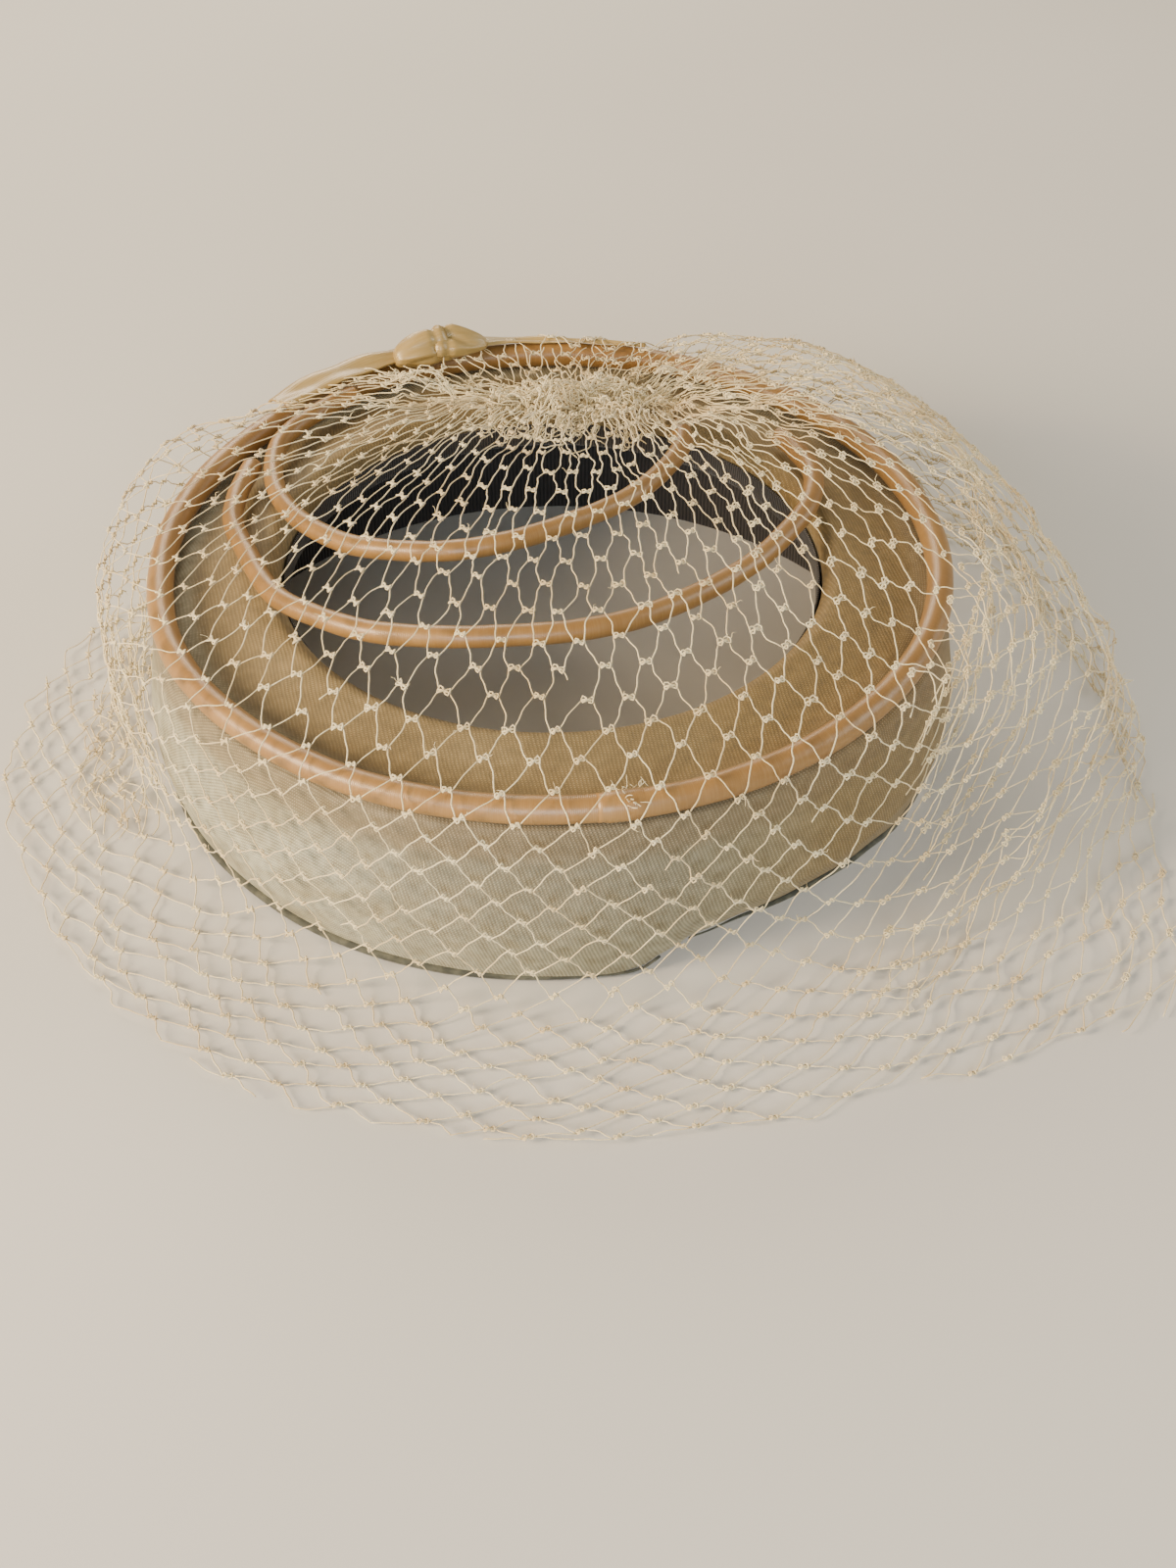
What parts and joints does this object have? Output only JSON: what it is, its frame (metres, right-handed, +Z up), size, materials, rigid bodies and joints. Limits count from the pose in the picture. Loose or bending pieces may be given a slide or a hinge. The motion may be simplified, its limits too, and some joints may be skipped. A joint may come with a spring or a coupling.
{
  "type": "cocktail hat",
  "caption": "Low fabric-covered ring hat with an open crown, satin rolls, a small bow and a coarse net veil that spreads over the front.",
  "frame": {"origin": "centre of the head opening, on the plane of the table that the hat rests on", "axes": "+Z up out of the crown opening, -Y towards the front where the veil spreads, +X to the right of the picture"},
  "size_m": [0.2842, 0.2694, 0.0697],
  "materials": {
    "covering_cloth": "fine beige and olive woven cloth with a soft sheen",
    "copper_satin": "copper coloured satin with bright stretched highlights",
    "pale_satin": "pale gold satin",
    "dark_ribbon": "dark ribbed ribbon",
    "cream_net": "cream knotted net of fine twisted thread"
  },
  "bodies": {
    "root": {"hat_body": "covering_cloth", "head_ribbon": "dark_ribbon", "outer_roll": "copper_satin", "middle_roll": "copper_satin", "inner_roll": "copper_satin", "bow_band": "pale_satin", "bow_loop": "pale_satin", "bow_fold": "pale_satin", "veil": "cream_net", "veil_gather": "cream_net"}
  },
  "joints": []
}
